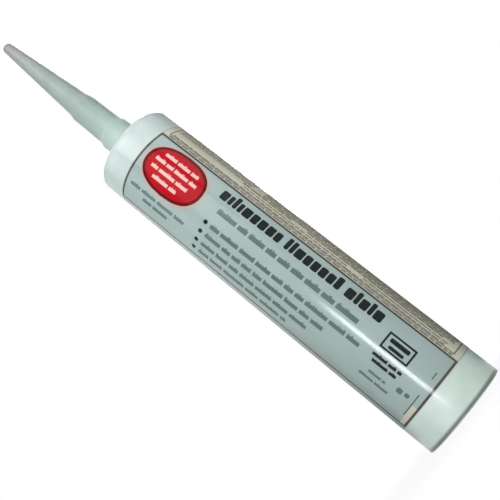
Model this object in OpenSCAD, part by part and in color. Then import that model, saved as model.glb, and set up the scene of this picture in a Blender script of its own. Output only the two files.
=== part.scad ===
// Caulk tube: a moulded sealant cartridge with a screw-on nozzle, standing on its open rear rim.
// The origin is the centre of the rear rim, +Z runs up to the nozzle tip, and the label faces -Y.

/* [Barrel] */
// Outside diameter of the barrel
barrel_d = 50; // [46:0.5:54]
// Length from the rear rim to the flat of the head
barrel_len = 218.5; // [200:0.5:240]
// Wall of the barrel
barrel_wall = 1.35; // [1.1:0.05:1.8]
// Thickness of the head that closes the front end
head_t = 2.2; // [1.8:0.1:3]
// Outside radius of the shoulder between wall and head
shoulder_r = 3; // [2.5:0.5:6]
// Lead-in chamfer inside the rear rim
rim_leadin = 0.5; // [0.2:0.1:0.6]
// Rounding outside the rear rim
rim_round = 0.4; // [0.2:0.1:0.4]

/* [Neck] */
// Outside diameter of the neck that the nozzle screws on
neck_d = 14.8; // [13.4:0.1:15.2]
// Height of the neck above the head
neck_len = 24; // [16:1:30]
// Diameter of the outlet through the neck
neck_bore_d = 9; // [6:0.5:10]
// Chamfer where the neck stands on the head
neck_root = 1; // [0.5:0.1:1.2]
// Chamfer round the top of the neck
neck_bevel = 0.6; // [0.3:0.1:0.8]
// Thickness of the foil across the outlet
foil_t = 0.12; // [0.05:0.01:0.2]
// Bare edge left round the foil
foil_margin = 0.8; // [0.8:0.1:1.2]

/* [Nozzle] */
// Length from the skirt's lower edge to the tip
nozzle_len = 105.3; // [85:0.1:120]
// Height of the skirt that covers the neck
skirt_len = 44.5; // [36:0.5:52]
// Diameter of the skirt at its lower edge, inside the collar
skirt_base_d = 17.6; // [17.2:0.1:21]
// Diameter of the skirt where it steps in
skirt_top_d = 16.4; // [15.2:0.1:17]
// How far the collar round the foot of the skirt stands out from it
collar_out = 1; // [0.4:0.1:2]
// Height of the collar
collar_h = 17.5; // [10:0.5:20]
// Height of the slope at the top of the collar
collar_slope = 2; // [0.5:0.1:3]
// Height of the sloped step above the skirt
step_h = 4.6; // [0.4:0.1:6]
// Diameter of the cone above the step
cone_base_d = 14.4; // [13:0.1:15]
// Diameter of the cone at its closed tip
tip_d = 6; // [5:0.1:8]
// Rounding of the closed tip
tip_round = 2; // [1:0.1:2.4]
// Wall of the cone
nozzle_wall = 1.15; // [0.9:0.05:1.4]
// Solid end that is cut off before use
tip_t = 3; // [1.5:0.5:8]
// Radial clearance between neck and skirt
neck_clear = 0.08; // [0.02:0.01:0.1]
// Gap between the foil and the ledge inside the nozzle
ledge_gap = 0.5; // [0.3:0.1:1.5]

/* [Plunger] */
// Depth of the plunger's rear edge inside the rim
plunger_depth = 30; // [20:1:60]
// Length of the plunger
plunger_len = 16; // [12:0.5:24]
// Wall of the plunger's skirt
plunger_wall = 1.3; // [1:0.1:2]
// Thickness of the plunger's face
plunger_face_t = 1.8; // [1.4:0.1:3]
// Radial clearance of the wiping lips
lip_clear = 0.07; // [0.02:0.01:0.1]
// Height of each wiping lip
lip_h = 2.2; // [1.5:0.1:3]
// How far the skirt is set back between the lips
lip_relief = 0.6; // [0.3:0.1:1]
// Bevel round the plunger's face
face_bevel = 1; // [0.5:0.1:1.5]
// Number of ribs behind the face
rib_count = 8; // [4:1:12]
// Thickness of each rib
rib_t = 1.2; // [0.8:0.1:2]
// Height of the ribs behind the face
rib_h = 8; // [4:0.5:9]
// Diameter of the hub where the ribs meet
hub_d = 10; // [8:0.5:14]

/* [Sealant] */
// Gap between the sealant and the walls that hold it
sealant_gap = 0.05; // [0.02:0.01:0.1]

/* [Label] */
// Thickness of the printed film
label_t = 0.12; // [0.08:0.01:0.2]
// Bare band between the rear rim and the label
bare_rear = 16.7; // [8:0.1:30]
// Bare band between the label and the flat of the head
bare_front = 15.8; // [10:0.1:30]
// Width of the overlap where the film is glued to itself
overlap_w = 8; // [4:0.5:14]

/* [Print panels] */
// Thickness of the ink
ink_t = 0.08; // [0.04:0.01:0.1]
// Gap between the film and the ink, so that their curved faces stay clear of each other
ink_clear = 0.04; // [0.02:0.01:0.06]
// Width of the line that frames the main panel
frame_line = 0.9; // [0.5:0.1:1.5]
// Distance from the label's ends to the frame
frame_inset = 0.2; // [0.1:0.1:1]
// Bare strip between the frame and the side panel
side_gap = 0.3; // [0.2:0.1:4]
// Width of the side panel round the tube
side_w = 29; // [15:0.1:38]
// Distance from the label's ends to the side panel
side_inset = 3; // [1:0.1:6]

/* [Print badge] */
// Length of the red badge along the tube
badge_len = 37.5; // [30:0.5:40]
// Width of the red badge across the tube
badge_w = 24.5; // [18:0.5:26]
// Corner radius of the red badge
badge_round = 9; // [3:0.5:9]
// Distance round the tube from the front to the badge's middle
badge_at = 2; // [0:0.1:4]
// Space between the badge and the front end of its frame
badge_gap = 2.7; // [2:0.1:6]
// Space between the badge and the frame's right side
badge_side = 1.4; // [0.5:0.1:3]
// Height of the two note lines beside the badge
note_h = 1.9; // [1:0.1:2.5]
// Lengths of the two note lines, as shares of the badge's length
note_shares = [0.98, 0.46];
// Space between the badge and the first note line
note_gap = 3.2; // [2:0.1:5]
// Distance between the two note lines, middle to middle
note_pitch = 4.4; // [3:0.1:5.5]

/* [Print heading] */
// Space between the badge and the heading
heading_space = 6.5; // [4:0.1:8]
// Height of the heading's bars
heading_h = 6; // [4:0.1:6]
// Lengths of the heading's bars, as shares of the room for them
heading_shares = [0.4, 0.35, 0.235];
// Gap between the heading's bars
heading_gap = 3; // [2:0.5:4.5]
// Distance round the tube from the front to the heading
heading_at = 10.9; // [9.5:0.1:11.5]
// How far the small text is set in from the heading
text_indent = 6.2; // [5:0.1:10]
// Height of the second line's bars
second_h = 3; // [2:0.1:4]
// Lengths of the second line's bars, as shares of the room for them
second_shares = [0.29, 0.13, 0.34, 0.18];
// Gap between the second line's bars
second_gap = 2; // [1:0.5:2.5]
// Distance round the tube from the front to the second line
second_at = 2; // [1:0.1:3]

/* [Print list] */
// Height of the list's lines
list_h = 2.4; // [1.5:0.1:3]
// Lengths of the list's lines, as shares of the room for them
list_shares = [0.97, 0.78, 0.73, 0.6];
// Distance round the tube from the front to the first line of the list
list_at = -6.4; // [-7:0.1:-5.5]
// Distance between the lines of the list, middle to middle
list_pitch = 5.4; // [4.5:0.1:5.7]
// Space between the last line of the list and the frame's left side
list_side = 4.4; // [2:0.1:6]
// Diameter of the dots before the lines
dot_d = 2.3; // [1.5:0.1:2.5]
// Distance from a dot's middle to its line
dot_space = 3.3; // [2.5:0.1:5]

/* [Print box] */
// Distance from the label's rear end to the small box
box_from = 16.4; // [6:0.1:18]
// Length of the small box along the tube
box_len = 15.5; // [12:0.5:18]
// Height of the small box round the tube
box_h = 8.8; // [6:0.1:10]
// Distance round the tube from the front to the small box
box_at = 3.6; // [3.5:0.1:5]
// Space kept free of text before the small box
box_gap = 4; // [2:0.5:8]
// Height of the bar below the small box
box_bar_h = 2.1; // [1.5:0.1:3]
// Space between the small box and the bar below it
box_bar_gap = 4; // [2:0.1:6]

/* [Hidden] */
barrel_r = barrel_d / 2;
bore_r = barrel_r - barrel_wall;
head_z = barrel_len - head_t;
inner_round = max(shoulder_r - barrel_wall, 1);
neck_r = neck_d / 2;
neck_top = barrel_len + neck_len;
neck_bore_r = neck_bore_d / 2;
foil_r = neck_r - foil_margin;
skirt_bore_r = neck_r + neck_clear;
ledge_z = neck_top + foil_t + ledge_gap;
step_z = barrel_len + skirt_len;
tip_z = barrel_len + nozzle_len;
cavity_end = tip_z - tip_t;
tip_steps = 8;
plunger_front = plunger_depth + plunger_len;
lip_r = bore_r - lip_clear;
skirt_r = lip_r - lip_relief;
label_r = barrel_r + label_t;
label_z = bare_rear;
label_len = barrel_len - bare_rear - bare_front;
label_end = label_z + label_len;
ink_r = label_r + ink_clear;
badge_arc = label_r * asin(badge_w / 2 / label_r) * PI / 180;
badge_from = frame_inset + frame_line + badge_gap + badge_len / 2;
note_at = badge_at - badge_arc - note_gap - note_h / 2;
heading_from = badge_from + badge_len / 2 + heading_space;
text_from = heading_from + text_indent;
dot_from = text_from - dot_space;
box_front = label_len - box_from - box_len;
box_bar_at = box_at - box_h / 2 - box_bar_gap - box_bar_h / 2;
text_end = box_front - box_gap;
list_last = list_at - (len(list_shares) - 1) * list_pitch;
frame_left = list_last - list_h / 2 - list_side - frame_line;
frame_right = badge_at + badge_arc + badge_side + frame_line;
side_from = frame_right + side_gap;
$fn = 96;

// Angle that a distance round the label takes. Places are counted from the front, -Y, towards +X.
function arc_of(width) = width / label_r * 180 / PI;
function sum_to(list, n) = n == 0 ? 0 : list[n - 1] + sum_to(list, n - 1);

// Radius of the skirt's outside at a height above its lower edge
function skirt_at(h) =
    (skirt_base_d + (skirt_top_d - skirt_base_d) * h / (skirt_len - step_h)) / 2;

// Radius of the cone's outside at height z
function cone_at(z) =
    (cone_base_d + (tip_d - cone_base_d) * (z - step_z) / (tip_z - step_z)) / 2;

// Half section of a can with a rounded shoulder, from z_low to z_high
module can_section(r, z_low, z_high, round_r) {
    translate([0, z_low])
        square([r, z_high - z_low - round_r]);
    translate([0, z_low])
        square([r - round_r, z_high - z_low]);
    translate([r - round_r, z_high - round_r])
        circle(round_r);
}

module neck_section() {
    polygon([
        [0, head_z],
        [neck_r + neck_root, head_z],
        [neck_r + neck_root, barrel_len],
        [neck_r, barrel_len + neck_root],
        [neck_r, neck_top - neck_bevel],
        [neck_r - neck_bevel, neck_top],
        [0, neck_top]
    ]);
}

// The part of the section that the rim's chamfer and rounding take away
module rim_cuts() {
    polygon([
        [bore_r - 1, -1],
        [bore_r + rim_leadin + 1, -1],
        [bore_r - 1, rim_leadin + 1]
    ]);
    difference() {
        translate([barrel_r - rim_round, -1])
            square([rim_round + 1, rim_round + 1]);
        translate([barrel_r - rim_round, rim_round])
            circle(rim_round);
    }
}

module barrel() {
    color("#dfeae6")
    rotate_extrude()
    difference() {
        union() {
            can_section(barrel_r, 0, barrel_len, shoulder_r);
            neck_section();
        }
        can_section(bore_r, -1, head_z, inner_round);
        translate([0, head_z - 1])
            square([neck_bore_r, neck_len + head_t + 2]);
        rim_cuts();
    }
}

module foil_seal() {
    color("#c9ccce")
    translate([0, 0, neck_top])
        cylinder(r = foil_r, h = foil_t);
}

// Outline of the nozzle: skirt with its collar, step, cone and rounded tip
module nozzle_outline() {
    tip_r = tip_d / 2;
    tip_arc = [
        for (i = [0 : tip_steps])
            let (a = 90 * i / tip_steps)
            [tip_r - tip_round + tip_round * cos(a), tip_z - tip_round + tip_round * sin(a)]
    ];
    polygon(concat(
        [[0, barrel_len], [skirt_base_d / 2 + collar_out, barrel_len]],
        [[skirt_at(collar_h - collar_slope) + collar_out, barrel_len + collar_h - collar_slope]],
        [[skirt_at(collar_h), barrel_len + collar_h]],
        [[skirt_top_d / 2, step_z - step_h], [cone_base_d / 2, step_z]],
        tip_arc,
        [[0, tip_z]]
    ));
}

// Space inside the nozzle: socket for the neck, ledge and cone
module nozzle_cavity() {
    root = neck_root + neck_clear;
    ledge_r = min(skirt_bore_r, skirt_at(ledge_z - barrel_len) - nozzle_wall) - 0.8;
    polygon([
        [0, barrel_len - 1],
        [skirt_bore_r + root + 1, barrel_len - 1],
        [skirt_bore_r, barrel_len + root],
        [skirt_bore_r, ledge_z],
        [ledge_r, ledge_z],
        [cone_base_d / 2 - nozzle_wall, step_z],
        [cone_at(cavity_end) - nozzle_wall, cavity_end],
        [0, cavity_end]
    ]);
}

module nozzle() {
    color("#b4c4c0")
    rotate_extrude()
    difference() {
        nozzle_outline();
        nozzle_cavity();
    }
}

// Half section of the plunger: beveled face, two lips and the set-back skirt
module plunger_section() {
    hollow_r = skirt_r - plunger_wall;
    front_lip = plunger_front - face_bevel - lip_h;
    difference() {
        polygon([
            [0, plunger_depth],
            [lip_r, plunger_depth],
            [lip_r, plunger_depth + lip_h],
            [skirt_r, plunger_depth + lip_h + lip_relief],
            [skirt_r, front_lip - lip_relief],
            [lip_r, front_lip],
            [lip_r, plunger_front - face_bevel],
            [lip_r - face_bevel, plunger_front],
            [0, plunger_front]
        ]);
        translate([0, plunger_depth - 1])
            square([hollow_r, plunger_len - plunger_face_t + 1]);
    }
}

module plunger() {
    rib_z = plunger_front - plunger_face_t - rib_h;
    rib_len = skirt_r - plunger_wall / 2;
    color("#eceee9") {
        rotate_extrude()
            plunger_section();
        translate([0, 0, rib_z])
            cylinder(d = hub_d, h = rib_h + plunger_face_t / 2);
        for (i = [0 : rib_count - 1])
            rotate([0, 0, 360 * i / rib_count])
                translate([0, -rib_t / 2, rib_z])
                    cube([rib_len, rib_t, rib_h + plunger_face_t / 2]);
    }
}

module sealant_fill() {
    top_round = max(inner_round - sealant_gap, 0.5);
    color("#d8d6cf")
    rotate_extrude() {
        can_section(bore_r - sealant_gap, plunger_front, head_z - sealant_gap, top_round);
        translate([0, plunger_front])
            square([neck_bore_r - sealant_gap, neck_top - plunger_front]);
    }
}

// A curved patch of ink of height len above z, from a place round the tube over a width.
// The spare thickness makes a patch that can cut through another.
module patch(z, len, from, width, spare = 0) {
    rotate([0, 0, arc_of(from) - 90])
        rotate_extrude(angle = arc_of(width))
            translate([ink_r - spare, z])
                square([ink_t + 2 * spare, len]);
}

// Cross-section of the label: one turn of film and the overlap at the back
module label_section() {
    side_x = barrel_r * sin(arc_of(overlap_w) / 2);
    difference() {
        union() {
            circle(label_r);
            intersection() {
                circle(label_r + label_t);
                translate([-side_x, 0])
                    square([2 * side_x, 2 * barrel_r]);
            }
        }
        circle(barrel_r);
    }
}

module label() {
    color("#a9bcc0")
    translate([0, 0, label_z])
        linear_extrude(height = label_len)
            label_section();
}

// A bar of ink that starts a distance from the label's front end
module bar(from_front, len, at, height) {
    patch(label_end - from_front - len, len, at - height / 2, height);
}

// A row of bars with equal gaps, from one distance to another, with shares of the room for them
module bar_row(from_front, to_front, shares, gap, at, height) {
    room = to_front - from_front - (len(shares) - 1) * gap;
    for (i = [0 : len(shares) - 1])
        bar(from_front + sum_to(shares, i) * room + i * gap, shares[i] * room, at, height);
}

// A frame of ink with a line of the given width
module ink_frame(z, len, from, width, line) {
    difference() {
        patch(z, len, from, width);
        patch(z + line, len - 2 * line, from + line, width - 2 * line, spare = ink_t);
    }
}

module print_cream() {
    color("#c9c8b8")
    patch(label_z + side_inset, label_len - 2 * side_inset, side_from, side_w);
}

// Outline of the badge, a rectangle with round corners
module badge_outline() {
    flat_x = badge_w / 2 - badge_round;
    flat_y = badge_len / 2 - badge_round;
    square([badge_w, 2 * flat_y], center = true);
    square([2 * flat_x, badge_len], center = true);
    for (x = [-flat_x, flat_x])
        for (y = [-flat_y, flat_y])
            translate([x, y])
                circle(badge_round);
}

module print_red() {
    color("#cd1423")
    intersection() {
        patch(label_end - badge_from - badge_len, 2 * badge_len, badge_at - badge_w, 2 * badge_w);
        translate([0, 0, label_end - badge_from])
            rotate([0, 0, arc_of(badge_at)])
                rotate([90, 0, 0])
                    linear_extrude(height = 2 * barrel_r)
                        badge_outline();
    }
}

module print_black() {
    color("#262a2c") {
        bar_row(heading_from, text_end, heading_shares, heading_gap, heading_at, heading_h);
        ink_frame(
            label_z + frame_inset, label_len - 2 * frame_inset,
            frame_left, frame_right - frame_left, frame_line
        );
        ink_frame(label_z + box_from, box_len, box_at - box_h / 2, box_h, frame_line);
        bar(box_front, box_len, box_bar_at, box_bar_h);
    }
}

module dot(from_front, at) {
    intersection() {
        bar(from_front - dot_d, 2 * dot_d, at, 2 * dot_d);
        translate([0, 0, label_end - from_front])
            rotate([0, 0, arc_of(at)])
                rotate([90, 0, 0])
                    cylinder(d = dot_d, h = 2 * barrel_r);
    }
}

module print_grey() {
    color("#6d7d7c") {
        bar_row(text_from, text_end, second_shares, second_gap, second_at, second_h);
        for (i = [0 : len(list_shares) - 1]) {
            bar(text_from, list_shares[i] * (text_end - text_from), list_at - i * list_pitch, list_h);
            dot(dot_from, list_at - i * list_pitch);
        }
        for (i = [0 : len(note_shares) - 1])
            bar(
                badge_from - note_shares[i] * badge_len / 2, note_shares[i] * badge_len,
                note_at - i * note_pitch, note_h
            );
    }
}

barrel();
foil_seal();
nozzle();
plunger();
sealant_fill();
label();
print_cream();
print_red();
print_black();
print_grey();
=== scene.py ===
import math
import random

import bmesh
import bpy
from mathutils import Matrix, Vector


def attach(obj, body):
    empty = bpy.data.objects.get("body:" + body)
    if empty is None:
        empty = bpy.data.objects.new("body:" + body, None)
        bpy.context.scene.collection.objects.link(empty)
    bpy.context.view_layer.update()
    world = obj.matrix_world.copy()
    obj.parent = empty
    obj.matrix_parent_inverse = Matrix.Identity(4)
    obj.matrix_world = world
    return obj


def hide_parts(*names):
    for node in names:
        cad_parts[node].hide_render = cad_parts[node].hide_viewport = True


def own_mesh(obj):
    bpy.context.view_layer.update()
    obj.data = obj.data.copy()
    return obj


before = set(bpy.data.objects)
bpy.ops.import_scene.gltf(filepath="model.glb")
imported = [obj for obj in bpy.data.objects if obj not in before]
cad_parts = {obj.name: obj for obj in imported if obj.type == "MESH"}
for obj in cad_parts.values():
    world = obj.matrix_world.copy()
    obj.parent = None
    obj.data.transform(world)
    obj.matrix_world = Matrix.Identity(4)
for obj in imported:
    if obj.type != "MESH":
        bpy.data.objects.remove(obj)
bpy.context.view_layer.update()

# A full sealant cartridge stands on its open rear rim, seen from low down in front.
# Lengths in the dictionaries are millimetres, angles are degrees.
millimetre = 0.001
edgeAngle = 38  # faces that meet at more than this show an edge
print("stage: frame loaded")


# Small helpers for colours, node trees and meshes

def hexColour(code):
    parts = [int(code[i:i + 2], 16) / 255 for i in (1, 3, 5)]
    linear = [c / 12.92 if c <= 0.04045 else ((c + 0.055) / 1.055) ** 2.4 for c in parts]
    return (*linear, 1.0)


def patternScale(sizeMm):
    return 1000 / sizeMm  # texture coordinates are metres, so this many patterns fit in one metre


def addNode(tree, kind, settings=None, links=None):
    node = tree.nodes.new(kind)
    for name, value in (settings or {}).items():
        if isinstance(name, int) or name in node.inputs:
            node.inputs[name].default_value = value
        else:
            setattr(node, name, value)
    for name, source in (links or {}).items():
        tree.links.new(source, node.inputs[name])
    return node


def emptyMaterial(name):
    material = bpy.data.materials.new(name)
    material.use_nodes = True
    material.node_tree.nodes.clear()
    return material, material.node_tree


def objectPoint(tree):
    return addNode(tree, "ShaderNodeTexCoord").outputs["Object"]


# A colour for each height, blended between them
def heightColours(tree, stops):
    low, high = stops[0][0], stops[-1][0]
    height = addNode(tree, "ShaderNodeSeparateXYZ", links={"Vector": objectPoint(tree)})
    share = addNode(tree, "ShaderNodeMapRange", {
        "From Min": low * millimetre, "From Max": high * millimetre,
    }, {"Value": height.outputs["Z"]})
    ramp = addNode(tree, "ShaderNodeValToRGB", links={"Fac": share.outputs["Result"]})
    marks = ramp.color_ramp.elements
    while len(marks) < len(stops):
        marks.new(0.5)
    for mark, (z, code) in zip(marks, stops):
        mark.position = (z - low) / (high - low)
        mark.color = hexColour(code)
    return ramp.outputs["Color"]


def finishMaterial(tree, shader):
    addNode(tree, "ShaderNodeOutputMaterial", links={"Surface": shader.outputs[0]})


def meshPiece(name, verts, faces):
    mesh = bpy.data.meshes.new(name)
    mesh.from_pydata([Vector(v) * millimetre for v in verts], [], faces)
    work = bmesh.new()
    work.from_mesh(mesh)
    bmesh.ops.recalc_face_normals(work, faces=work.faces)
    work.to_mesh(mesh)
    work.free()
    mesh.shade_smooth()
    mesh.set_sharp_from_angle(angle=math.radians(edgeAngle))
    piece = bpy.data.objects.new(name, mesh)
    bpy.context.scene.collection.objects.link(piece)
    return piece


def arc(middle, radius, start, end, steps):
    angles = [math.radians(start + (end - start) * i / steps) for i in range(steps + 1)]
    return [(middle[0] + radius * math.cos(a), middle[1] + radius * math.sin(a)) for a in angles]


def stretch(start, end, step):
    count = max(1, round(math.dist(start, end) / step))
    return [
        (start[0] + (end[0] - start[0]) * i / count, start[1] + (end[1] - start[1]) * i / count)
        for i in range(count + 1)
    ]


# Adds points to an outline, so that none of its straight stretches is longer than the step
def spaced(points, step):
    filled = [points[0]]
    for start, end in zip(points, points[1:]):
        filled += stretch(start, end, step)[1:]
    return filled


# Rounds each corner between an outline's two ends, over a short way on both sides of it
def softened(corners, reach):
    points = [corners[0]]
    for before, corner, after in zip(corners, corners[1:], corners[2:]):
        start = Vector(corner).lerp(before, min(reach / math.dist(corner, before), 0.45))
        end = Vector(corner).lerp(after, min(reach / math.dist(corner, after), 0.45))
        for i in range(5):
            share = i / 4
            bend = start.lerp(corner, share).lerp(Vector(corner).lerp(end, share), share)
            points.append(tuple(bend))
    return points + [corners[-1]]


def tidyOutline(points):
    kept = []
    for p in points:
        if not kept or math.dist(p, kept[-1]) > 1e-4:
            kept.append(p)
    if math.dist(kept[0], kept[-1]) < 1e-4:
        kept.pop()
    return kept


# Turns an outline of (radius, height) points about the axis. An outline that starts and ends on
# the axis closes there, and any other one is a closed ring. radiusAt may change a point's radius.
def turnedPiece(name, outline, segments, radiusAt=None):
    outline = tidyOutline(outline)
    verts, rows, faces = [], [], []
    for r, z in outline:
        if r < 1e-6:
            rows.append([len(verts)] * segments)
            verts.append((0, 0, z))
            continue
        row = []
        for j in range(segments):
            turn = 2 * math.pi * j / segments
            here = radiusAt(r, z, turn) if radiusAt else r
            row.append(len(verts))
            verts.append((here * math.cos(turn), here * math.sin(turn), z))
        rows.append(row)
    closed = outline[0][0] > 1e-6
    for i in range(len(rows) - (0 if closed else 1)):
        low, high = rows[i], rows[(i + 1) % len(rows)]
        for j in range(segments):
            k = (j + 1) % segments
            corners = [low[j], low[k], high[k], high[j]]
            corners = [c for n, c in enumerate(corners) if c not in corners[:n]]
            if len(corners) > 2:
                faces.append(corners)
    return meshPiece(name, verts, faces)


def joinPieces(name, pieces):
    work = bmesh.new()
    for piece in pieces:
        work.from_mesh(piece.data)
        bpy.data.objects.remove(piece)
    mesh = bpy.data.meshes.new(name)
    work.to_mesh(mesh)
    work.free()
    mesh.shade_smooth()
    mesh.set_sharp_from_angle(angle=math.radians(edgeAngle))
    piece = bpy.data.objects.new(name, mesh)
    bpy.context.scene.collection.objects.link(piece)
    return piece


def place(piece, body, slotName, material, *nodes):
    piece.data.materials.clear()
    piece.data.materials.append(material)
    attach(piece, body)
    if nodes:
        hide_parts(*nodes)
    return piece


# Camera, fitted to the photo's outline, rear rim and label edges

camera = {
    "distance": 389.37,  # from the tube's axis
    "height": 24.313,  # above the rear rim
    "pitch": 15.434,
    "yaw": -0.546,
    "roll": -51.369,
    "focal": 780,  # in pixels of the 500 pixel frame
    "frameSize": 500,
    "sensor": 36,
    "nearest": 10,  # nothing nearer than this is seen
}


def makeCamera():
    pitch, yaw, roll = (math.radians(camera[k]) for k in ("pitch", "yaw", "roll"))
    ahead = Vector((math.sin(yaw) * math.cos(pitch), math.cos(yaw) * math.cos(pitch), math.sin(pitch)))
    right = ahead.cross(Vector((0, 0, 1))).normalized()
    up = right.cross(ahead)
    xAxis = right * math.cos(roll) + up * math.sin(roll)
    yAxis = up * math.cos(roll) - right * math.sin(roll)
    data = bpy.data.cameras.new("photoCamera")
    data.sensor_width = camera["sensor"]
    data.lens = camera["focal"] / camera["frameSize"] * camera["sensor"]
    data.clip_start = camera["nearest"] * millimetre
    eye = bpy.data.objects.new("photoCamera", data)
    turn = Matrix((xAxis, yAxis, -ahead)).transposed().to_4x4()
    eye.matrix_world = Matrix.Translation(
        Vector((0, -camera["distance"], camera["height"])) * millimetre
    ) @ turn
    bpy.context.scene.collection.objects.link(eye)
    bpy.context.scene.camera = eye


makeCamera()
print("stage: camera placed")


# Materials

plastics = {
    # heights in the part's frame; the grey band along the barrel's outer rear edge is painted shade, and the
    # barrel turns greyer towards the head
    "barrelColours": [
        (0, "#d9e8e2"), (0.12, "#54574f"), (1.4, "#6d7068"), (2.3, "#d9e8e2"), (60, "#d4e1dc"),
        (214, "#c8d5d4"), (218.5, "#b7c6c4"),
    ],
    "barrelShade": "#cdd9d3",
    "barrelRoughness": 0.23,
    # whiter where the neck shows through the skirt, greyer towards the solid tip
    "nozzleColours": [
        (219, "#c4d8d2"), (229, "#b9ccc6"), (240, "#a7bcb5"), (258, "#a2b1ad"), (300, "#9fa9a6"),
        (314, "#a1a5a4"), (321, "#a0a1a1"), (324, "#818383"),
    ],
    "nozzleShade": "#e3e8e5",
    "nozzleRoughness": 0.42,
    "plungerColour": "#e9ebe4",
    "plungerShade": "#dcdfd6",
    "plungerRoughness": 0.5,
    "polyethyleneIor": 1.51,
    # spacing and height of the moulded skin's orange peel
    "skinGrain": 1.6,
    "skinHeight": 0.06,
    "plungerGrain": 0.9,
    "plungerGrainHeight": 0.05,
    # size of the soft clouds in the colour
    "barrelCloud": 26,
    "nozzleCloud": 9,
    "plungerCloud": 7,
    # how far light spreads inside the plastic
    "barrelSpread": 1.8,
    "nozzleSpread": 1.2,
    "plungerSpread": 1.5,
}

labelFilm = {
    "colour": "#a2b5b4",
    "shade": "#97a9a6",
    "gloss": 0.4,
    "roughness": 0.15,
    "ior": 1.5,
    "cloudSize": 22,
    # spacing and height of the slight waves in the film, which run along the tube
    "waveSize": 14,
    "waveHeight": 0.3,
    "waveStretch": 0.3,
    "dotSize": 0.55,  # printed screen dots are finer and are drawn this coarse to show
    "dotShare": 0.5,
}


# High-density polyethylene, blow moulded: waxy, slightly deep, with a faint orange peel
def barrelPolyethylene():
    material, tree = emptyMaterial("barrelPolyethyleneMoulded")
    point = objectPoint(tree)
    cloud = addNode(tree, "ShaderNodeTexNoise", {
        "Scale": patternScale(plastics["barrelCloud"]), "Detail": 3.0, "Roughness": 0.55,
    }, {"Vector": point})
    clouded = addNode(tree, "ShaderNodeMapRange", {
        "From Min": 0.35, "From Max": 1.0,
    }, {"Value": cloud.outputs["Fac"]})
    # colour by height, which holds the painted shade along the outer rear rim, under soft clouds of tone
    colour = addNode(tree, "ShaderNodeMix", {
        "data_type": "RGBA", 7: hexColour(plastics["barrelShade"]), "blend_type": "MULTIPLY",
    }, {0: clouded.outputs["Result"], 6: heightColours(tree, plastics["barrelColours"])})
    grain = addNode(tree, "ShaderNodeTexNoise", {
        "Scale": patternScale(plastics["skinGrain"]), "Detail": 2.0, "Roughness": 0.5,
    }, {"Vector": point})
    skin = addNode(tree, "ShaderNodeBump", {
        "Strength": 0.12, "Distance": plastics["skinHeight"] * millimetre,
    }, {"Height": grain.outputs["Fac"]})
    rough = addNode(tree, "ShaderNodeMapRange", {
        "To Min": plastics["barrelRoughness"] - 0.04, "To Max": plastics["barrelRoughness"] + 0.06,
    }, {"Value": cloud.outputs["Fac"]})
    shader = addNode(tree, "ShaderNodeBsdfPrincipled", {
        "IOR": plastics["polyethyleneIor"], "Specular IOR Level": 0.4,
        "Subsurface Weight": 0.18, "Subsurface Radius": (1.0, 1.0, 0.9),
        "Subsurface Scale": plastics["barrelSpread"] * millimetre,
    }, {
        "Base Color": colour.outputs[2], "Roughness": rough.outputs["Result"],
        "Normal": skin.outputs["Normal"],
    })
    finishMaterial(tree, shader)
    return material


# Natural low-density polyethylene, injection moulded: milky, lets some light through, and looks
# darker where the tip is solid
def nozzlePolyethylene():
    material, tree = emptyMaterial("nozzlePolyethyleneMilky")
    point = objectPoint(tree)
    cloud = addNode(tree, "ShaderNodeTexNoise", {
        "Scale": patternScale(plastics["nozzleCloud"]), "Detail": 3.0, "Roughness": 0.5,
    }, {"Vector": point})
    colour = addNode(tree, "ShaderNodeMix", {
        "data_type": "RGBA", 7: hexColour(plastics["nozzleShade"]), "blend_type": "MULTIPLY",
    }, {0: cloud.outputs["Fac"], 6: heightColours(tree, plastics["nozzleColours"])})
    grain = addNode(tree, "ShaderNodeTexNoise", {
        "Scale": patternScale(plastics["skinGrain"]), "Detail": 2.0,
    }, {"Vector": point})
    skin = addNode(tree, "ShaderNodeBump", {
        "Strength": 0.15, "Distance": plastics["skinHeight"] * millimetre,
    }, {"Height": grain.outputs["Fac"]})
    shader = addNode(tree, "ShaderNodeBsdfPrincipled", {
        "Roughness": plastics["nozzleRoughness"], "IOR": plastics["polyethyleneIor"],
        "Specular IOR Level": 0.25, "Subsurface Weight": 0.4, "Subsurface Radius": (0.9, 1.0, 0.95),
        "Subsurface Scale": plastics["nozzleSpread"] * millimetre,
    }, {"Base Color": colour.outputs[2], "Normal": skin.outputs["Normal"]})
    finishMaterial(tree, shader)
    return material


# Natural polyethylene again, injection moulded with a dull tool: satin and chalky
def plungerPolyethylene():
    material, tree = emptyMaterial("plungerPolyethyleneSatin")
    point = objectPoint(tree)
    cloud = addNode(tree, "ShaderNodeTexNoise", {
        "Scale": patternScale(plastics["plungerCloud"]), "Detail": 3.0,
    }, {"Vector": point})
    colour = addNode(tree, "ShaderNodeMix", {
        "data_type": "RGBA", 6: hexColour(plastics["plungerColour"]), 7: hexColour(plastics["plungerShade"]),
    }, {0: cloud.outputs["Fac"]})
    grain = addNode(tree, "ShaderNodeTexNoise", {
        "Scale": patternScale(plastics["plungerGrain"]), "Detail": 3.0,
    }, {"Vector": point})
    skin = addNode(tree, "ShaderNodeBump", {
        "Strength": 0.2, "Distance": plastics["plungerGrainHeight"] * millimetre,
    }, {"Height": grain.outputs["Fac"]})
    shader = addNode(tree, "ShaderNodeBsdfPrincipled", {
        "Roughness": plastics["plungerRoughness"], "IOR": plastics["polyethyleneIor"],
        "Subsurface Weight": 0.2, "Subsurface Scale": plastics["plungerSpread"] * millimetre,
    }, {"Base Color": colour.outputs[2], "Normal": skin.outputs["Normal"]})
    finishMaterial(tree, shader)
    return material


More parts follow.
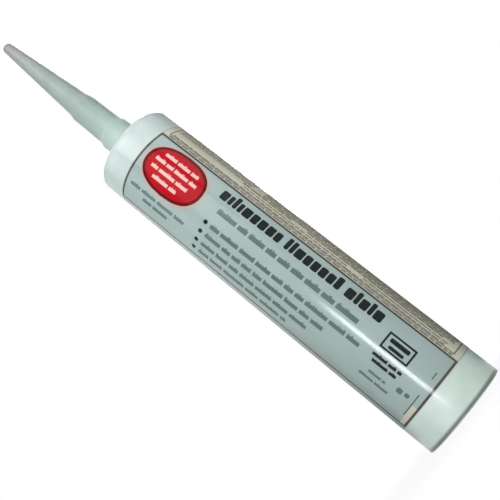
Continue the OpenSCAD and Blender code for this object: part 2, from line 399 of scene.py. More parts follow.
# Printed polypropylene film under a clear varnish: smooth gloss over a fine printed screen.
# Film and inks share the waves, so that one streak of light runs over all of them.
def printedFilm(name, main, second, gloss):
    material, tree = emptyMaterial(name)
    point = objectPoint(tree)
    cloud = addNode(tree, "ShaderNodeTexNoise", {
        "Scale": patternScale(labelFilm["cloudSize"]), "Detail": 2.0,
    }, {"Vector": point})
    dots = addNode(tree, "ShaderNodeTexVoronoi", {
        "Scale": patternScale(labelFilm["dotSize"]), "Randomness": 0.25,
    }, {"Vector": point})
    mixture = addNode(tree, "ShaderNodeMath", {
        "operation": "MULTIPLY_ADD", 1: labelFilm["dotShare"],
    }, {0: dots.outputs["Distance"], 2: cloud.outputs["Fac"]})
    amount = addNode(tree, "ShaderNodeMapRange", {
        "From Min": 0.35, "From Max": 1.0,
    }, {"Value": mixture.outputs["Value"]})
    colour = addNode(tree, "ShaderNodeMix", {
        "data_type": "RGBA", 6: hexColour(main), 7: hexColour(second),
    }, {0: amount.outputs["Result"]})
    stretched = addNode(tree, "ShaderNodeMapping", {
        "Scale": (1, 1, labelFilm["waveStretch"]),
    }, {"Vector": point})
    wave = addNode(tree, "ShaderNodeTexNoise", {
        "Scale": patternScale(labelFilm["waveSize"]), "Detail": 1.0,
    }, {"Vector": stretched.outputs["Vector"]})
    ripple = addNode(tree, "ShaderNodeBump", {
        "Strength": 0.12, "Distance": labelFilm["waveHeight"] * millimetre,
    }, {"Height": wave.outputs["Fac"]})
    shader = addNode(tree, "ShaderNodeBsdfPrincipled", {
        "Roughness": labelFilm["roughness"], "IOR": labelFilm["ior"], "Specular IOR Level": gloss,
    }, {"Base Color": colour.outputs[2], "Normal": ripple.outputs["Normal"]})
    finishMaterial(tree, shader)
    return material


foilSheet = {"colour": "#d9dbdc", "roughness": (0.22, 0.4), "creaseSize": 2.5, "creaseHeight": 0.2}


# Rolled aluminium foil, heat sealed: bright with soft creases
def foilRolled():
    material, tree = emptyMaterial("foilRolledAluminium")
    point = objectPoint(tree)
    crease = addNode(tree, "ShaderNodeTexNoise", {
        "Scale": patternScale(foilSheet["creaseSize"]), "Detail": 4.0,
    }, {"Vector": point})
    bump = addNode(tree, "ShaderNodeBump", {
        "Strength": 0.35, "Distance": foilSheet["creaseHeight"] * millimetre,
    }, {"Height": crease.outputs["Fac"]})
    rough = addNode(tree, "ShaderNodeMapRange", {
        "To Min": foilSheet["roughness"][0], "To Max": foilSheet["roughness"][1],
    }, {"Value": crease.outputs["Fac"]})
    shader = addNode(tree, "ShaderNodeBsdfPrincipled", {
        "Base Color": hexColour(foilSheet["colour"]), "Metallic": 1.0,
    }, {"Roughness": rough.outputs["Result"], "Normal": bump.outputs["Normal"]})
    finishMaterial(tree, shader)
    return material


pasteLook = {
    "colour": "#dcd9d1",
    "streakColour": "#c9c5bb",
    "streakSize": 6,
    "streakHeight": 0.4,
    "roughness": 0.3,
    "ior": 1.45,
    "spread": 2.0,
}


# Sealant paste as it was filled: smooth, damp and faintly streaked
def sealantPaste():
    material, tree = emptyMaterial("sealantPasteDamp")
    point = objectPoint(tree)
    streak = addNode(tree, "ShaderNodeTexNoise", {
        "Scale": patternScale(pasteLook["streakSize"]), "Detail": 4.0, "Distortion": 0.8,
    }, {"Vector": point})
    colour = addNode(tree, "ShaderNodeMix", {
        "data_type": "RGBA", 6: hexColour(pasteLook["colour"]), 7: hexColour(pasteLook["streakColour"]),
    }, {0: streak.outputs["Fac"]})
    bump = addNode(tree, "ShaderNodeBump", {
        "Strength": 0.3, "Distance": pasteLook["streakHeight"] * millimetre,
    }, {"Height": streak.outputs["Fac"]})
    shader = addNode(tree, "ShaderNodeBsdfPrincipled", {
        "Roughness": pasteLook["roughness"], "IOR": pasteLook["ior"],
        "Subsurface Weight": 0.2, "Subsurface Scale": pasteLook["spread"] * millimetre,
    }, {"Base Color": colour.outputs[2], "Normal": bump.outputs["Normal"]})
    finishMaterial(tree, shader)
    return material


# Barrel with its shoulder, head and threaded neck

thread = {
    "pitch": 3.0,
    "depth": 0.5,
    "crest": 0.26,  # share of the pitch
    "flank": 0.2,
    "start": 1.8,  # above the head
    "end": 22.4,
    "fade": 1.6,
    "play": 0.08,  # radial play between neck and skirt
}

barrel = {
    "radius": 25.0,
    "wall": 1.35,
    "length": 218.5,
    "head": 2.2,
    "shoulder": 3.0,
    "leadIn": 0.5,
    "rimRound": 0.4,
    "neckRadius": 7.4,
    "neckLength": 24.0,
    "neckRoot": 1.0,
    "neckBevel": 0.6,
    "outlet": 4.5,
    "outletBevel": 0.2,
    "flat": 0.5,  # ring of the head kept flat outside the neck's root
    # spacing of the rows of faces
    "wallStep": 12,
    "boreStep": 20,
    "threadStep": 0.2,
    "segments": 192,
}


def threadRidge(z, turn):
    base = barrel["length"]
    low, high = base + thread["start"], base + thread["end"]
    phase = ((z - low) / thread["pitch"] - turn / (2 * math.pi)) % 1.0
    rise = min(phase, 1 - phase)
    ridge = min(max((thread["crest"] / 2 + thread["flank"] - rise) / thread["flank"], 0), 1)
    fade = min(max((z - low) / thread["fade"], 0), 1) * min(max((high - z) / thread["fade"], 0), 1)
    return ridge * fade


def makeBarrel():
    b = barrel
    bore = b["radius"] - b["wall"]
    headZ = b["length"] - b["head"]
    top = b["length"] + b["neckLength"]
    inner = b["shoulder"] - b["wall"]
    neckLow, neckHigh = b["length"] + b["neckRoot"], top - b["neckBevel"]
    outline = [(bore + b["leadIn"], 0)]
    outline += arc((b["radius"] - b["rimRound"], b["rimRound"]), b["rimRound"], -90, 0, 5)
    shoulderZ = b["length"] - b["shoulder"]
    outline += stretch((b["radius"], b["rimRound"]), (b["radius"], shoulderZ), b["wallStep"])
    outline += arc((b["radius"] - b["shoulder"], shoulderZ), b["shoulder"], 0, 90, 14)
    outline += [(b["neckRadius"] + b["neckRoot"] + b["flat"], b["length"])]
    outline += arc(
        (b["neckRadius"] + b["neckRoot"], b["length"] + b["neckRoot"]), b["neckRoot"], 270, 180, 5
    )
    outline += stretch((b["neckRadius"], neckLow), (b["neckRadius"], neckHigh), b["threadStep"])
    outline += [(b["neckRadius"] - b["neckBevel"], top), (b["outlet"] + b["outletBevel"], top)]
    outline += [(b["outlet"], top - b["outletBevel"]), (b["outlet"], headZ)]
    outline += arc((bore - inner, headZ - inner), inner, 90, 0, 8)
    outline += stretch((bore, headZ - inner), (bore, b["leadIn"]), b["boreStep"])

    def radiusAt(r, z, turn):
        if neckLow < z < neckHigh and abs(r - b["neckRadius"]) < 1e-6:
            return r - thread["depth"] * (1 - threadRidge(z, turn))
        return r

    return turnedPiece("barrelShell", outline, b["segments"], radiusAt)


place(makeBarrel(), "cartridge", "barrel_polyethylene", barrelPolyethylene(), "barrel")
print("stage: barrel made")


# Nozzle: skirt over the neck, step, cone and closed tip

nozzle = {
    "length": 105.3,
    "skirt": 44.5,
    "collar": 1.0,  # how far it stands out
    "collarHeight": 17.5,
    "collarSlope": 2.0,
    "skirtBase": 8.8,  # radii
    "skirtTop": 8.2,
    "step": 4.6,
    "coneBase": 7.2,
    "tip": 3.0,
    "tipRound": 2.0,
    "wall": 1.15,
    "solidTip": 3.0,
    "endBevel": (0.4, 0.5),  # in the cavity, under the solid tip
    "foil": 0.12,  # thickness of the foil below the ledge
    "ledge": 0.8,  # width of the ledge above the foil
    "ledgeGap": 0.5,
    "edge": 0.35,
    "soft": 1.1,  # how far the corners outside are rounded
    "groove": 0.8,  # share of the thread's depth
    # spacing of the rows of faces
    "wallStep": 3,
    "grooveStep": 0.25,
    "segments": 128,
}


def makeNozzle():
    n = nozzle
    low = barrel["length"]
    tipZ = low + n["length"]
    stepZ = low + n["skirt"]
    ledgeZ = low + barrel["neckLength"] + n["foil"] + n["ledgeGap"]
    boreR = barrel["neckRadius"] + thread["play"]

    def skirtAt(height):
        return n["skirtBase"] + (n["skirtTop"] - n["skirtBase"]) * height / (n["skirt"] - n["step"])

    ledgeR = min(boreR, skirtAt(ledgeZ - low) - n["wall"]) - n["ledge"]
    end = tipZ - n["solidTip"]
    endR = n["coneBase"] + (n["tip"] - n["coneBase"]) * (end - stepZ) / (tipZ - stepZ) - n["wall"]
    root = barrel["neckRoot"] + thread["play"]
    inset, drop = n["endBevel"]
    outline = [(0, end), (endR - inset, end), (endR, end - drop)]
    inner = [outline[-1], (n["coneBase"] - n["wall"], stepZ), (ledgeR, ledgeZ), (boreR, ledgeZ)]
    outline += spaced(inner, n["wallStep"])
    outline += stretch((boreR, ledgeZ), (boreR, low + root), n["grooveStep"])
    outline += [(boreR + root, low)]
    collarTop = n["collarHeight"] - n["collarSlope"]
    corners = [
        (n["skirtBase"] + n["collar"] - n["edge"], low),
        (n["skirtBase"] + n["collar"], low + n["edge"]),
        (skirtAt(collarTop) + n["collar"], low + collarTop),
        (skirtAt(n["collarHeight"]), low + n["collarHeight"]),
        (n["skirtTop"], stepZ - n["step"]),
        (n["coneBase"], stepZ),
        (n["tip"], tipZ - n["tipRound"]),
    ]
    outline += spaced(softened(corners, n["soft"]), n["wallStep"])
    outline += arc((n["tip"] - n["tipRound"], tipZ - n["tipRound"]), n["tipRound"], 0, 90, 8)
    outline += [(0, tipZ)]
    grooveLow, grooveHigh = low + root, ledgeZ

    def radiusAt(r, z, turn):
        if grooveLow < z < grooveHigh and abs(r - boreR) < 1e-6:
            return r + thread["depth"] * n["groove"] * threadRidge(z, turn)
        return r

    return turnedPiece("nozzleShell", outline, n["segments"], radiusAt)


place(makeNozzle(), "spout", "nozzle_polyethylene", nozzlePolyethylene(), "nozzle")
print("stage: nozzle made")


# Foil seal across the outlet, with a heat-sealed ring pressed into it

foil = {
    "radius": 6.6,
    "thickness": nozzle["foil"],
    "ringIn": 4.6,
    "ringOut": 5.8,
    "ringSlope": 0.15,
    "press": 0.04,
    "segments": 96,
}


def makeFoil():
    f = foil
    low = barrel["length"] + barrel["neckLength"]
    top = low + f["thickness"]
    outline = [(0, low), (f["radius"], low), (f["radius"], top)]
    outline += [(f["ringOut"], top), (f["ringOut"] - f["ringSlope"], top - f["press"])]
    outline += [(f["ringIn"] + f["ringSlope"], top - f["press"]), (f["ringIn"], top), (0, top)]
    return turnedPiece("foilDisc", outline, f["segments"])


place(makeFoil(), "cartridge", "foil", foilRolled(), "foil_seal")


# Plunger: a cup with two wiping lips, ribs and hub behind its face

plunger = {
    "depth": 30.0,
    "length": 16.0,
    "lip": 23.58,  # radii
    "skirt": 22.98,
    "wall": 1.3,
    "face": 1.8,
    "lipHeight": 2.2,
    "relief": 0.6,
    "bevel": 1.0,
    "ribs": 8,
    "ribWidth": 1.2,
    "ribHeight": 8.0,
    "hub": 5.0,
    "hubRound": 0.5,
    # the gate's mark in the hub's end: radius, slope and depth
    "gate": (1.6, 0.4, 0.5),
    "sink": 0.4,  # how far ribs and hub reach into the face
    "ribLift": 0.1,  # the ribs end this much above the hub's end
    "soft": 0.35,  # rounding of the ribs' free edges
    "corner": 0.8,  # rounding between skirt and face
    "rimBevel": 0.3,
    "lipBevel": 0.2,
    "segments": 160,
    "hubSegments": 48,
}


def makeRib(turn):
    p = plunger
    floor = p["depth"] + p["length"] - p["face"]
    high = floor + p["sink"]
    low = floor - p["ribHeight"] + p["ribLift"]
    half, soft = p["ribWidth"] / 2, p["soft"]
    section = [(half, high)]
    section += arc((half - soft, low + soft), soft, 0, -90, 3)
    section += arc((soft - half, low + soft), soft, 270, 180, 3)
    section += [(-half, high)]
    reach = p["skirt"] - p["wall"] / 2
    verts, faces = [], []
    for x in (p["hub"] / 2, reach):
        for y, z in section:
            turned = Matrix.Rotation(turn, 2) @ Vector((x, y))
            verts.append((*turned, z))
    count = len(section)
    for i in range(count):
        k = (i + 1) % count
        faces.append([i, k, count + k, count + i])
    faces.append(list(range(count)))
    faces.append(list(range(count, 2 * count)))
    return meshPiece("rib", verts, faces)


def makePlunger():
    p = plunger
    rear, front = p["depth"], p["depth"] + p["length"]
    hollow = p["skirt"] - p["wall"]
    floor = front - p["face"]
    frontLip = front - p["bevel"] - p["lipHeight"]
    ribLow = floor - p["ribHeight"]
    outline = [(0, floor)]
    outline += arc((hollow - p["corner"], floor - p["corner"]), p["corner"], 90, 0, 4)
    outline += [(hollow, rear + p["rimBevel"]), (hollow + p["rimBevel"], rear)]
    outline += [(p["lip"] - p["lipBevel"], rear), (p["lip"], rear + p["lipBevel"])]
    outline += [(p["lip"], rear + p["lipHeight"])]
    outline += [(p["skirt"], rear + p["lipHeight"] + p["relief"]), (p["skirt"], frontLip - p["relief"])]
    outline += [(p["lip"], frontLip), (p["lip"], front - p["bevel"])]
    outline += [(p["lip"] - p["bevel"], front), (0, front)]
    cup = turnedPiece("cup", outline, p["segments"])
    gate, slope, depth = p["gate"]
    hubOutline = [(0, floor + p["sink"]), (p["hub"], floor + p["sink"])]
    hubOutline += arc((p["hub"] - p["hubRound"], ribLow + p["hubRound"]), p["hubRound"], 0, -90, 4)
    hubOutline += [(gate, ribLow), (gate - slope, ribLow + depth), (0, ribLow + depth)]
    hub = turnedPiece("hub", hubOutline, p["hubSegments"])
    ribs = [makeRib(2 * math.pi * i / p["ribs"]) for i in range(p["ribs"])]
    return joinPieces("plungerCup", [cup, hub, *ribs])


place(makePlunger(), "piston", "plunger_polyethylene", plungerPolyethylene(), "plunger")
print("stage: plunger made")


# Sealant between plunger and head, and in the neck

sealant = {"gap": 0.05, "wallStep": 8, "segments": 96, "neckSegments": 48}


def makeSealant():
    s, b = sealant, barrel
    radius = b["radius"] - b["wall"] - s["gap"]
    low = plunger["depth"] + plunger["length"]
    high = b["length"] - b["head"] - s["gap"]
    roundR = b["shoulder"] - b["wall"] - s["gap"]
    outline = [(0, low), (radius, low)]
    outline += stretch((radius, low), (radius, high - roundR), s["wallStep"])
    outline += arc((radius - roundR, high - roundR), roundR, 0, 90, 8)
    outline += [(0, high)]
    return turnedPiece("sealantBody", outline, s["segments"])


# The paste in the neck stays where it is when the plunger moves
def makeNeckFill():
    radius = barrel["outlet"] - sealant["gap"]
    low, high = barrel["length"] - barrel["head"], barrel["length"] + barrel["neckLength"]
    outline = [(0, low), (radius, low), (radius, high), (0, high)]
    return turnedPiece("sealantNeck", outline, sealant["neckSegments"])


pasteMaterial = sealantPaste()
paste = place(makeSealant(), "cartridge", "sealant", pasteMaterial, "sealant_fill")
place(makeNeckFill(), "cartridge", "sealant", pasteMaterial)
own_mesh(paste)
print("stage: sealant made")


# Label film, one turn and an overlap at the back

label = {
    "rear": 16.7,
    "front": 202.7,
    "thickness": 0.12,
    "overlap": 8.0,
    "climb": 0.9,  # way over which the film climbs on itself
    "lift": 0.004,  # keeps the film's inside clear of the barrel
    "spare": 0.01,  # and its turns clear of each other
    "segments": 240,
}
filmRadius = barrel["radius"] + label["thickness"]


# Places round the tube are millimetres on the film, from the front, -Y, towards +X
def onTube(radius, at, z):
    turn = at / filmRadius
    return (radius * math.sin(turn), -radius * math.cos(turn), z)


def makeLabel():
    half, turn = label["overlap"] / 2, math.pi * filmRadius
    start, end = -turn - half, turn + half
    climbFrom, climbTo = turn - half - label["climb"], turn - half
    places = [start + (end - start) * i / label["segments"] for i in range(label["segments"] + 1)]
    verts, faces = [], []
    for here in places:
        climb = min(max((here - climbFrom) / (climbTo - climbFrom), 0), 1)
        inner = barrel["radius"] + label["lift"] + climb * label["thickness"]
        outer = inner + label["thickness"] - label["spare"]
        for radius, z in (
            (inner, label["rear"]), (outer, label["rear"]), (outer, label["front"]), (inner, label["front"]),
        ):
            verts.append(onTube(radius, here, z))
    for i in range(len(places) - 1):
        for j in range(4):
            k = (j + 1) % 4
            faces.append([4 * i + j, 4 * i + k, 4 * i + 4 + k, 4 * i + 4 + j])
    last = 4 * (len(places) - 1)
    faces.append([0, 1, 2, 3])
    faces.append([last, last + 1, last + 2, last + 3])
    return meshPiece("labelWrap", verts, faces)


place(
    makeLabel(), "cartridge", "label_film",
    printedFilm("labelFilmVarnished", labelFilm["colour"], labelFilm["shade"], labelFilm["gloss"]), "label",
)
print("stage: label made")


# Print, as thin patches of ink that follow the tube. "from" is the distance from the label's front
# end, "at" is the place round the tube, and sizes are millimetres along and round the tube.

ink = {
    "thickness": 0.02,
    "layer": 0.012,  # each layer lies this much above the one before
    "sink": 0.006,  # how far the first layer starts below the film's own radius
    "rowStep": 0.9,
    "roundStep": 0.5,
}

# Stand-ins for words, as shares of the line's height
strip = {"height": 0.76, "shortest": 1.8, "longest": 5.0, "post": 0.2, "space": 0.42}


class InkSheet:
    def __init__(self, name):
        self.name = name
        self.verts = []
        self.faces = []

    # A patch between two ends that may differ on every row: ends(share) gives (from, to) lengths
    def patch(self, at, height, ends, layer=0, rows=None):
        rows = rows or max(1, math.ceil(height / ink["rowStep"]))
        low = filmRadius - ink["sink"] + layer * ink["layer"]
        high = low + ink["thickness"]
        first = len(self.verts)
        for i in range(rows + 1):
            share = i / rows
            nearEnd, farEnd = ends(share)
            here = at + (share - 0.5) * height
            for radius, away in ((low, nearEnd), (high, nearEnd), (high, farEnd), (low, farEnd)):
                self.verts.append(onTube(radius, here, label["front"] - away))
        for i in range(rows):
            a, b = first + 4 * i, first + 4 * i + 4
            for j in range(4):
                k = (j + 1) % 4
                self.faces.append([a + j, a + k, b + k, b + j])
        self.faces.append([first, first + 1, first + 2, first + 3])
        last = first + 4 * rows
        self.faces.append([last, last + 1, last + 2, last + 3])

    def bar(self, away, length, at, height, layer=0):
        self.patch(at, height, lambda share: (away, away + length), layer)

    # A bar with rounded corners
    def block(self, away, length, at, height, corner, layer=0):
        def ends(share):
            edge = min(share, 1 - share) * height
            cut = corner - math.sqrt(max(corner ** 2 - max(corner - edge, 0) ** 2, 0))
            return away + cut, away + length - cut
        self.patch(at, height, ends, layer, rows=max(6, math.ceil(height / ink["roundStep"])))

    def frame(self, away, length, at, height, line, layer=0):
        side = (height - line) / 2
        self.bar(away, line, at, height, layer)
        self.bar(away + length - line, line, at, height, layer)
        self.bar(away + line, length - 2 * line, at - side, line, layer)
        self.bar(away + line, length - 2 * line, at + side, line, layer)

    # Stand-in for a line of text: plain strips as long as words, with small posts on them
    def wordRow(self, away, length, at, height, chance, layer=0):
        spot, end, low = away, away + length, height * strip["height"]
        while spot < end - height:
            width = min(height * chance.uniform(strip["shortest"], strip["longest"]), end - spot)
            self.bar(spot, width, at + (low - height) / 2, low, layer)
            post = height * strip["post"]
            for _ in range(round(width / height)):
                shift = chance.uniform(0, width - post)
                self.bar(spot + shift, post, at + low / 2, height - low, layer)
            spot += width + height * strip["space"]

    # Stand-in for large lettering: a row of plain blocks of two heights
    def blockWord(self, away, length, at, style, chance, layer=0):
        spot, end = away, away + length
        base = at - style["height"] / 2
        while spot < end - style["gap"]:
            width = min(chance.choice(style["widths"]), end - spot)
            size = style["height"] if chance.random() < style["tallShare"] else style["low"]
            self.block(spot, width, base + size / 2, size, style["corner"], layer)
            spot += width + style["gap"]

    def make(self):
        return meshPiece(self.name, self.verts, self.faces)


# Printed inks: the piece that each makes, its two tones, its gloss and what it stands for
inks = {
    "black": {
        "piece": "blackPrint", "material": "inkBlackVarnished", "colours": ("#12191a", "#1b2424"),
        "gloss": 0.15, "slot": "ink_black", "nodes": ["print_black"],
    },
    "grey": {
        "piece": "greyPrint", "material": "inkGreyGreenVarnished", "colours": ("#4b6061", "#5b7070"),
        "gloss": 0.4, "slot": "ink_grey", "nodes": ["print_grey"],
    },
    "brown": {
        "piece": "brownLines", "material": "inkBrownVarnished", "colours": ("#453b38", "#524742"),
        "gloss": 0.3, "slot": "ink_black", "nodes": [],
    },
    "keyline": {
        "piece": "badgeKeyline", "material": "inkPaleVarnished", "colours": ("#c6aba3", "#ba9f97"),
        "gloss": 0.2, "slot": "ink_red", "nodes": [],
    },
    "rim": {
        "piece": "badgeRim", "material": "inkDarkRedVarnished", "colours": ("#520a10", "#5e0c13"),
        "gloss": 0.1, "slot": "ink_red", "nodes": [],
    },
    "red": {
        "piece": "badgeField", "material": "inkRedVarnished", "colours": ("#bd0d1c", "#ad0b19"),
        "gloss": 0.1, "slot": "ink_red", "nodes": ["print_red"],
    },
    "mark": {
        "piece": "badgeBars", "material": "inkPinkVarnished", "colours": ("#eebdb6", "#e3b3ad"),
        "gloss": 0.2, "slot": "ink_red", "nodes": [],
    },
    "cream": {
        "piece": "creamPanel", "material": "inkCreamVarnished", "colours": ("#d2d1c0", "#c0c1b0"),
        "gloss": 0.3, "slot": "ink_cream", "nodes": ["print_cream"],
    },
    "olive": {
        "piece": "oliveText", "material": "inkOliveVarnished", "colours": ("#68655a", "#797666"),
        "gloss": 0.3, "slot": "ink_cream", "nodes": [],
    },
}

badge = {
    "from": 22.5,
    "at": 2.0,
    "length": 37.4,
    "width": 25.6,
    "rim": 1.6,
    "keyline": 1.2,
    "power": 2.25,
    "strips": [22, 28, 27, 19],  # lengths of the pale strips on the red field
    "stripHeight": 2.3,
    "pitch": 4.3,
    "rows": 48,  # rows of faces across the badge
}
heading = {
    "from": 47.8,
    "words": [38.4, 33.8, 22.5],
    "space": 3.2,
    "at": 10.9,
    "height": 7.0,
    "low": 5.4,
    "widths": (2.4, 4.0, 4.4, 4.8),
    "gap": 0.7,
    "corner": 0.7,
    "tallShare": 0.3,
}
secondLine = {"from": 52.5, "length": 90.5, "at": 2.0, "height": 3.2}
listLines = {"from": 54, "lengths": [93, 74.8, 70.3, 57.3], "at": -6.4, "pitch": 5.4, "height": 2.7}
listDots = {"from": 50.7, "size": 2.5}
notes = {"lengths": [37, 17], "at": -14.9, "pitch": 4.4, "height": 2.5}
smallBox = {
    "from": 154.1,
    "length": 15.6,
    "at": 3.6,
    "height": 8.8,
    "line": 1.0,
    # bars inside: inset at both ends, shift round the tube, height
    "bars": [(2.4, 1.2, 2.2), (3.6, -2.0, 1.6)],
    "barCorner": 0.4,
    # lines under it: start and length over the box's own, place round the tube, height
    "blackLines": [(-0.4, 0.8, -4.8, 1.9), (1.2, -2.0, -7.6, 1.9)],
    "greyLines": [(3, -6.1, -13.1, 1.6), (-0.4, 0.8, -16.8, 1.7)],
}
# Small marks at the rear end: start, length, place round the tube, height
endMarks = {
    "grey": [(172.2, 3.0, -11.6, 2.8), (176.4, 2.4, -11.2, 2.2)],
    "corner": 0.6,
    "cream": [(182.2, 2.6, -20.6, 15)],
    "brown": [(181.4, 0.5, -14, 14), (181.4, 0.5, 4, 4)],
}
panel = {"left": -29.1, "right": 17.1, "line": 1.15, "inset": 0.2}
sidePanel = {
    "left": 17.4,
    "right": 46.4,
    "inset": 3.0,
    "bleed": 0.5,  # the cream runs on past the frame, nearly to the ends of the film
    # the thin frame: its left side, line, and distance from the field's edges
    "border": 19.2,
    "line": 0.5,
    "frameGap": 0.4,
    "frameRight": 0.6,
    # rows of fine text: place round the tube, start, length, height
    "rows": [
        (18.3, 4, 178, 1.3), (20.6, 5, 172, 1.2), (22.4, 52, 66, 1.1), (22.4, 128, 50, 1.1),
        (24.8, 50, 32, 1.4), (24.8, 92, 82, 1.4),
    ],
    # fine text: lower rows, in a short and a long column
    "finePitch": 1.75,
    "fineHeight": 1.25,
    "fineShortHeight": 1.0,
    "fineStart": 26.6,
    "fineEnd": 44.8,
    "fineFrom": 62,
    "fineShort": (5.4, 50),
    "fineRest": 5,
}


def badgeShape(sheet, grow, layer):
    b = badge
    halfLength, halfWidth = b["length"] / 2 + grow, b["width"] / 2 + grow

    def ends(share):
        across = min(abs(2 * share - 1), 0.9999)
        reach = halfLength * (1 - across ** b["power"]) ** (1 / b["power"])
        return b["from"] - reach, b["from"] + reach
    sheet.patch(b["at"], 2 * halfWidth, ends, layer, b["rows"])


def makePrint():
    chance = random.Random(11)
    labelLength = label["front"] - label["rear"]
    sheets = {key: InkSheet(row["piece"]) for key, row in inks.items()}
    black, grey, brown, olive = (sheets[key] for key in ("black", "grey", "brown", "olive"))

    # Badge: pale keyline, dark rim, red field and rows of plain pale strips
    badgeShape(sheets["keyline"], badge["keyline"], 0)
    badgeShape(sheets["rim"], 0, 1)
    badgeShape(sheets["red"], -badge["rim"], 2)
    firstRow = (len(badge["strips"]) - 1) / 2
    for i, length in enumerate(badge["strips"]):
        at = badge["at"] + (firstRow - i) * badge["pitch"]
        sheets["mark"].wordRow(badge["from"] - length / 2, length, at, badge["stripHeight"], chance, 3)

    # Heading, second line, list and notes
    spot = heading["from"]
    for word in heading["words"]:
        black.blockWord(spot, word, heading["at"], heading, chance)
        spot += word + heading["space"]
    grey.wordRow(secondLine["from"], secondLine["length"], secondLine["at"], secondLine["height"], chance)
    for i, length in enumerate(listLines["lengths"]):
        at, dot = listLines["at"] - i * listLines["pitch"], listDots["size"]
        grey.wordRow(listLines["from"], length, at, listLines["height"], chance)
        black.block(listDots["from"] - dot / 2, dot, at, dot, dot / 2)
    for i, length in enumerate(notes["lengths"]):
        at = notes["at"] - i * notes["pitch"]
        grey.wordRow(badge["from"] - length / 2, length, at, notes["height"], chance)

    # Small framed box, and the lines under it
    x = smallBox
    start, wide = x["from"], x["length"]
    black.frame(start, wide, x["at"], x["height"], x["line"])
    for inset, shift, tall in x["bars"]:
        black.block(start + inset, wide - 2 * inset, x["at"] + shift, tall, x["barCorner"])
    for sheet, lines in ((black, x["blackLines"]), (grey, x["greyLines"])):
        for shift, more, at, tall in lines:
            sheet.wordRow(start + shift, wide + more, at, tall, chance)
    for away, length, at, tall in endMarks["grey"]:
        grey.block(away, length, at, tall, endMarks["corner"])
    for key in ("cream", "brown"):
        for away, length, at, tall in endMarks[key]:
            sheets[key].bar(away, length, at, tall)

    # Lines that frame the main panel
    p = panel
    middle, height = (p["left"] + p["right"]) / 2, p["right"] - p["left"]
    brown.frame(p["inset"], labelLength - 2 * p["inset"], middle, height, p["line"])

    # Side panel: cream field, a thin frame and rows of fine text
    q = sidePanel
    sheets["cream"].bar(
        q["bleed"], labelLength - 2 * q["bleed"], (q["left"] + q["right"]) / 2, q["right"] - q["left"]
    )
    depth = q["right"] - q["frameRight"] - q["border"]
    edge = q["inset"] + q["frameGap"]
    brown.frame(edge, labelLength - 2 * edge, q["border"] + depth / 2, depth, q["line"], 1)
    for at, start, length, height in q["rows"]:
        olive.wordRow(start, length, at, height, chance, 1)
    at, wide = q["fineStart"], labelLength - q["fineFrom"] - q["fineRest"]
    while at < q["fineEnd"]:
        olive.wordRow(*q["fineShort"], at, q["fineShortHeight"], chance, 1)
        olive.wordRow(q["fineFrom"], wide, at, q["fineHeight"], chance, 1)
        at += q["finePitch"]
    return sheets


def dressPrint():
    sheets = makePrint()
    for key, row in inks.items():
        material = printedFilm(row["material"], *row["colours"], row["gloss"])
        place(sheets[key].make(), "cartridge", row["slot"], material, *row["nodes"])


dressPrint()
print("stage: print made")


# Floor, lamps and world

studio = {
    "floorSize": 3000,
    "floorColour": "#a9aaa9",
    "floorGlow": (0.92, 1.0),  # share of plain white near the tube and far from it
    "glowRange": (30, 120),
    "worldLight": 0.13,
    "backdrop": 1.0,  # strength at which the background is white
    # grey cards beside the backdrop, seen only in reflections: they draw the tube's edges, and each
    # has two ends and a colour for each height
    "cards": [
        ((62, 150), (170, 34), [
            (0, "#1c1b18"), (30, "#3a3832"), (80, "#45433d"), (160, "#4c4a43"), (310, "#77756e"),
        ]),
        ((-170, 34), (-76, 150), [
            (0, "#716d60"), (40, "#a8a494"), (90, "#cbc8bb"), (160, "#e9e8e1"),
        ]),
    ],
    "cardHeight": 700,
}

lamps = {
    # the narrow lamp draws the streak on the film, the wide ones light the rest evenly
    "streak": {"at": (-70, -400, 66), "aim": (0, 0, 66), "size": (60, 136), "watts": 0.52},
    "front": {"at": (0, -760, 620), "aim": (0, 0, 180), "size": (700, 500), "watts": 2.15},
    "left": {"at": (-420, -240, 470), "aim": (0, 0, 220), "size": (320, 320), "watts": 0.4},
    "right": {"at": (330, -260, 450), "aim": (0, 0, 230), "size": (300, 300), "watts": 0.6},
    "head": {"at": (-60, -420, 620), "aim": (0, 0, 250), "size": (300, 300), "watts": 1.65},
    # a narrow beam from each side, seen in no reflection
    "leftBeam": {
        "at": (-230, 85, 170), "aim": (0, 0, 170), "size": (100, 100), "watts": 0.034, "spread": 55,
        "glossy": False,
    },
    "rightBeam": {
        "at": (230, 85, 130), "aim": (0, 0, 130), "size": (60, 60), "watts": 0.005, "spread": 34,
        "glossy": False,
    },
    "back": {"at": (150, 760, 560), "aim": (0, 0, 150), "size": (600, 500), "watts": 6.0},
}


def addLamp(name, s):
    data = bpy.data.lights.new(name + "Lamp", "AREA")
    data.shape = "RECTANGLE"
    data.size, data.size_y = (v * millimetre for v in s["size"])
    data.energy = s["watts"]
    data.spread = math.radians(s.get("spread", 180))
    lamp = bpy.data.objects.new(name + "Lamp", data)
    lamp.location = Vector(s["at"]) * millimetre
    aim = Vector(s["aim"]) * millimetre - lamp.location
    lamp.rotation_euler = aim.to_track_quat("-Z", "Y").to_euler()
    lamp.visible_camera = False
    lamp.visible_glossy = s.get("glossy", True)
    bpy.context.scene.collection.objects.link(lamp)


def backgroundRays(tree):
    rays = addNode(tree, "ShaderNodeLightPath")
    seen = addNode(tree, "ShaderNodeMath", {"operation": "MAXIMUM"}, {
        0: rays.outputs["Is Camera Ray"], 1: rays.outputs["Is Glossy Ray"],
    })
    return addNode(tree, "ShaderNodeMath", {"operation": "MAXIMUM"}, {
        0: seen.outputs["Value"], 1: rays.outputs["Is Transmission Ray"],
    })


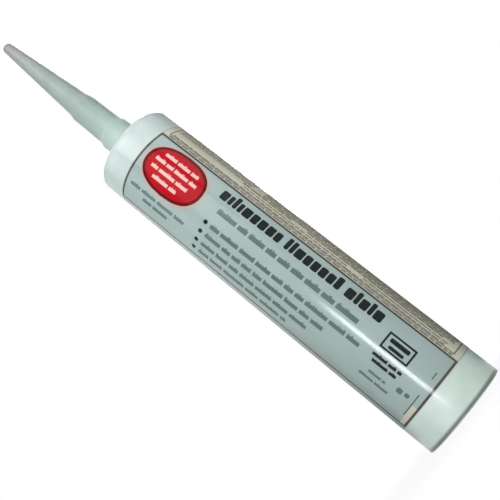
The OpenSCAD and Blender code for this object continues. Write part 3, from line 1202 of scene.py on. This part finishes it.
def makeWorld():
    world = bpy.data.worlds.new("studioWorld")
    world.use_nodes = True
    tree = world.node_tree
    tree.nodes.clear()
    strength = addNode(tree, "ShaderNodeMapRange", {
        "To Min": studio["worldLight"], "To Max": studio["backdrop"],
    }, {"Value": backgroundRays(tree).outputs["Value"]})
    light = addNode(tree, "ShaderNodeBackground", {"Color": (1, 1, 1, 1)}, {
        "Strength": strength.outputs["Result"],
    })
    addNode(tree, "ShaderNodeOutputWorld", links={"Surface": light.outputs["Background"]})
    bpy.context.scene.world = world


# White sweep: seen as nearly white, yet it still takes the soft shadow at the rim
def makeFloor():
    half = studio["floorSize"] / 2
    floor = meshPiece("studioFloor", [
        (-half, -half, 0), (half, -half, 0), (half, half, 0), (-half, half, 0),
    ], [[0, 1, 2, 3]])
    material, tree = emptyMaterial("floorMattWhite")
    matt = addNode(tree, "ShaderNodeBsdfDiffuse", {"Color": hexColour(studio["floorColour"])})
    white = addNode(tree, "ShaderNodeEmission", {"Color": (1, 1, 1, 1), "Strength": studio["backdrop"]})
    away = addNode(tree, "ShaderNodeVectorMath", {"operation": "LENGTH"}, {0: objectPoint(tree)})
    glow = addNode(tree, "ShaderNodeMapRange", {
        "interpolation_type": "SMOOTHSTEP",
        "From Min": studio["glowRange"][0] * millimetre, "From Max": studio["glowRange"][1] * millimetre,
        "To Min": studio["floorGlow"][0], "To Max": studio["floorGlow"][1],
    }, {"Value": away.outputs["Value"]})
    share = addNode(tree, "ShaderNodeMath", {"operation": "MULTIPLY"}, {
        0: backgroundRays(tree).outputs["Value"], 1: glow.outputs["Result"],
    })
    surface = addNode(tree, "ShaderNodeMixShader", links={
        0: share.outputs["Value"], 1: matt.outputs["BSDF"], 2: white.outputs["Emission"],
    })
    # clear from below, so that the open rear end can be looked into
    side = addNode(tree, "ShaderNodeNewGeometry")
    clear = addNode(tree, "ShaderNodeBsdfTransparent", {"Color": (1, 1, 1, 1)})
    oneSided = addNode(tree, "ShaderNodeMixShader", links={
        0: side.outputs["Backfacing"], 1: surface.outputs["Shader"], 2: clear.outputs["BSDF"],
    })
    finishMaterial(tree, oneSided)
    floor.data.materials.append(material)


def makeCard(start, end, colours):
    top = studio["cardHeight"]
    card = meshPiece("studioCard", [(*start, 0), (*end, 0), (*end, top), (*start, top)], [[0, 1, 2, 3]])
    material, tree = emptyMaterial("cardMattGrey")
    paint = addNode(tree, "ShaderNodeEmission", {"Strength": studio["backdrop"]}, {
        "Color": heightColours(tree, colours),
    })
    finishMaterial(tree, paint)
    card.data.materials.append(material)
    card.visible_camera = False
    card.visible_diffuse = False
    card.visible_shadow = False
    card.visible_transmission = False


for name, values in lamps.items():
    addLamp(name, values)
makeWorld()
makeFloor()
for start, end, colours in studio["cards"]:
    makeCard(start, end, colours)
bpy.context.scene.view_settings.view_transform = "Standard"
print("stage: studio made")
